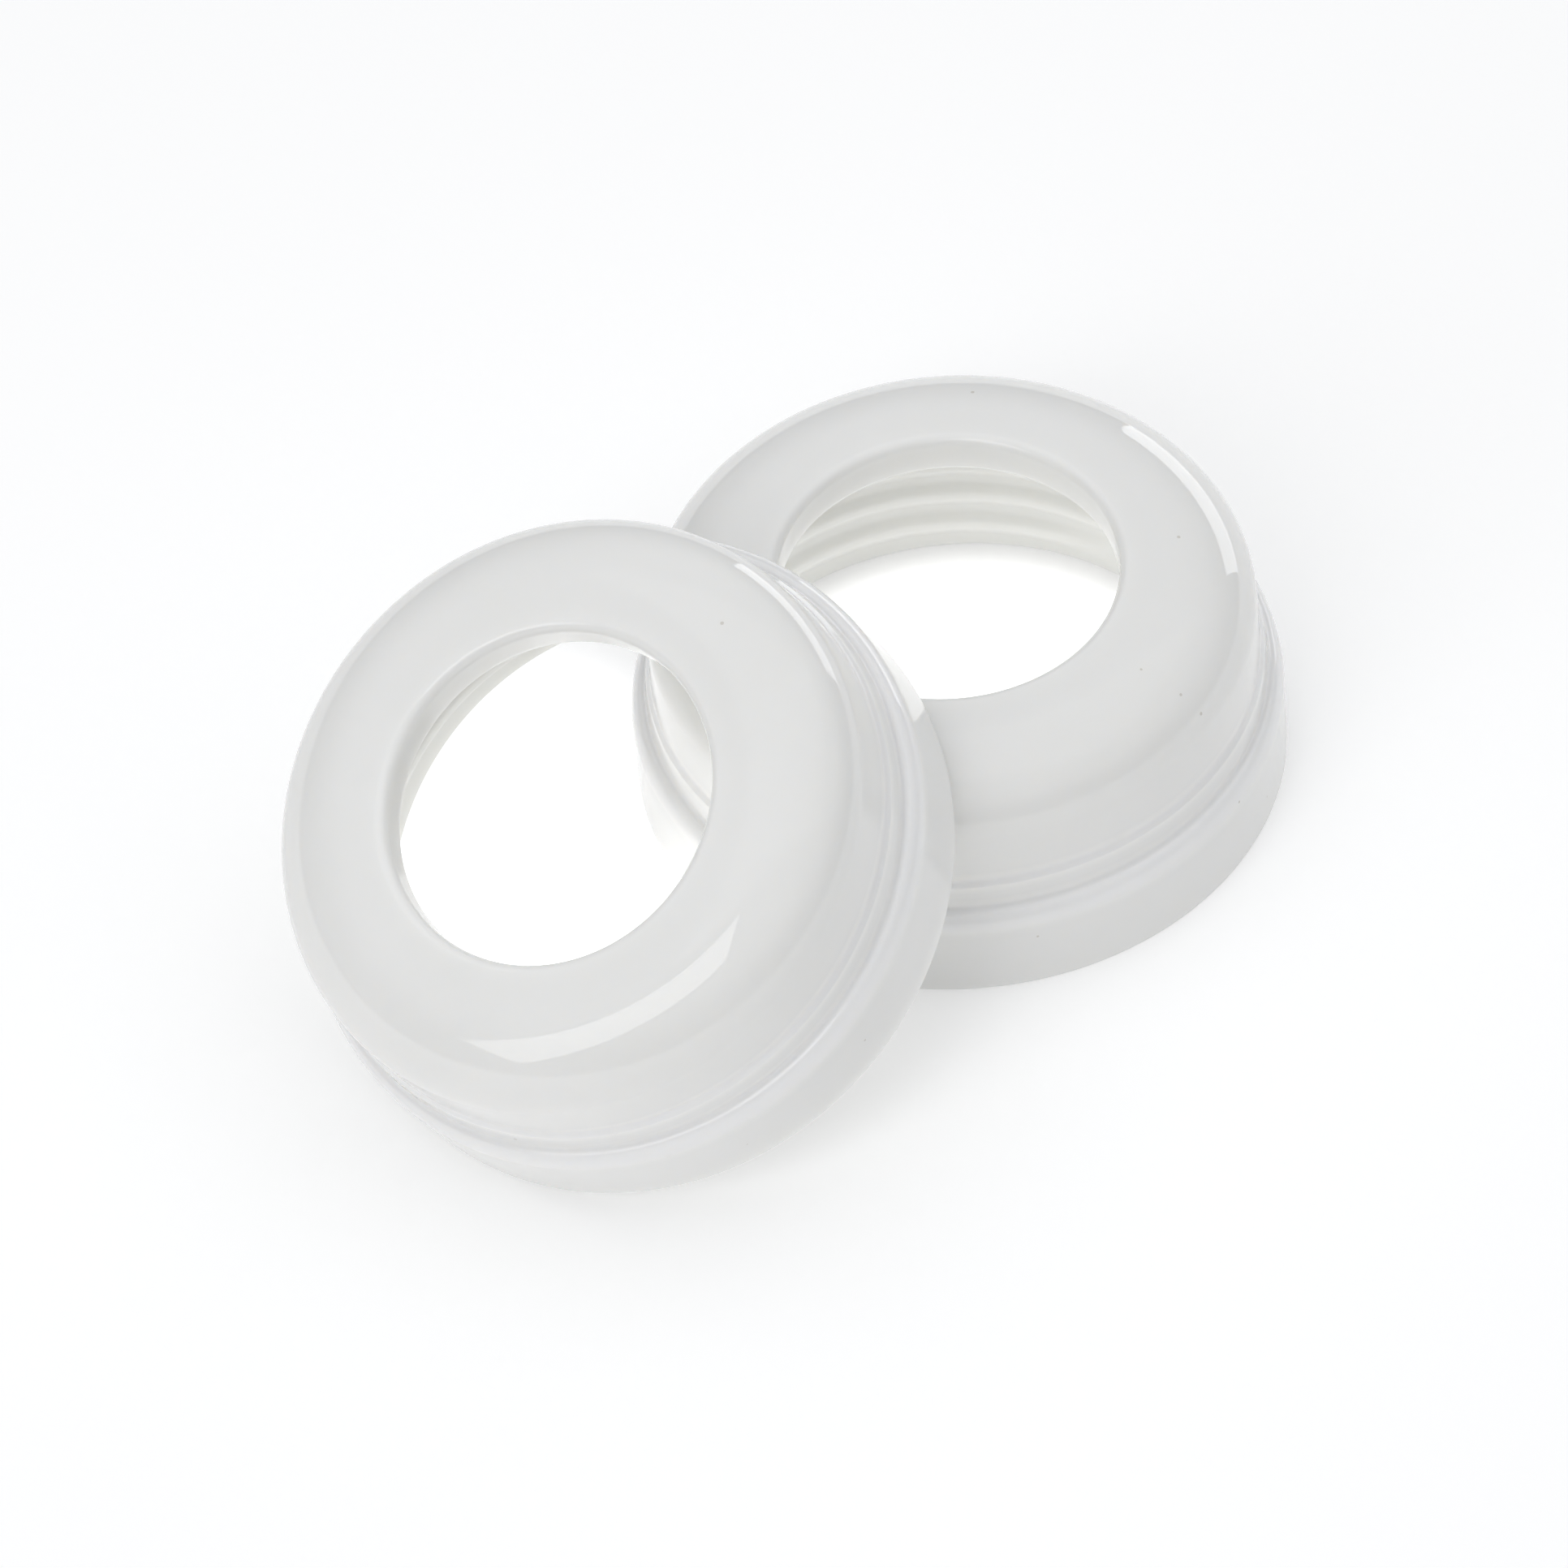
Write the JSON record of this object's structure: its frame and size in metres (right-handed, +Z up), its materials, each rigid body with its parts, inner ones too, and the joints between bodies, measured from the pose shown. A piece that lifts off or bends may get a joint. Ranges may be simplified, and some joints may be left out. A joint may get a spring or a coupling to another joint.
{
  "type": "pair of feeding bottle screw collars",
  "caption": "Identical white screw collars for a narrow-neck feeding bottle, open at the top for the teat and threaded inside, one flat and one leaning on it.",
  "frame": {"origin": "on the table, at the centre of the rim that the flat collar stands on", "axes": "+Z up, along the flat collar's centre line from its rim to its teat hole; the leaning collar lies towards -X and -Y"},
  "size_m": [0.0693, 0.069, 0.0354],
  "materials": {
    "flat_collar_plastic": "injection-moulded white polypropylene, glossy, slightly translucent at thin edges",
    "leaning_collar_plastic": "injection-moulded white polypropylene, glossy, slightly translucent at thin edges"
  },
  "bodies": {
    "flat_collar": {"flat_collar": "flat_collar_plastic"},
    "leaning_collar": {"leaning_collar": "leaning_collar_plastic"}
  },
  "joints": [
    {"name": "leaning_collar_lift", "type": "slide", "parent": "flat_collar", "child": "leaning_collar", "axis": [-0.3089, -0.3617, 0.8796], "range_m": [0, 0.04]}
  ]
}
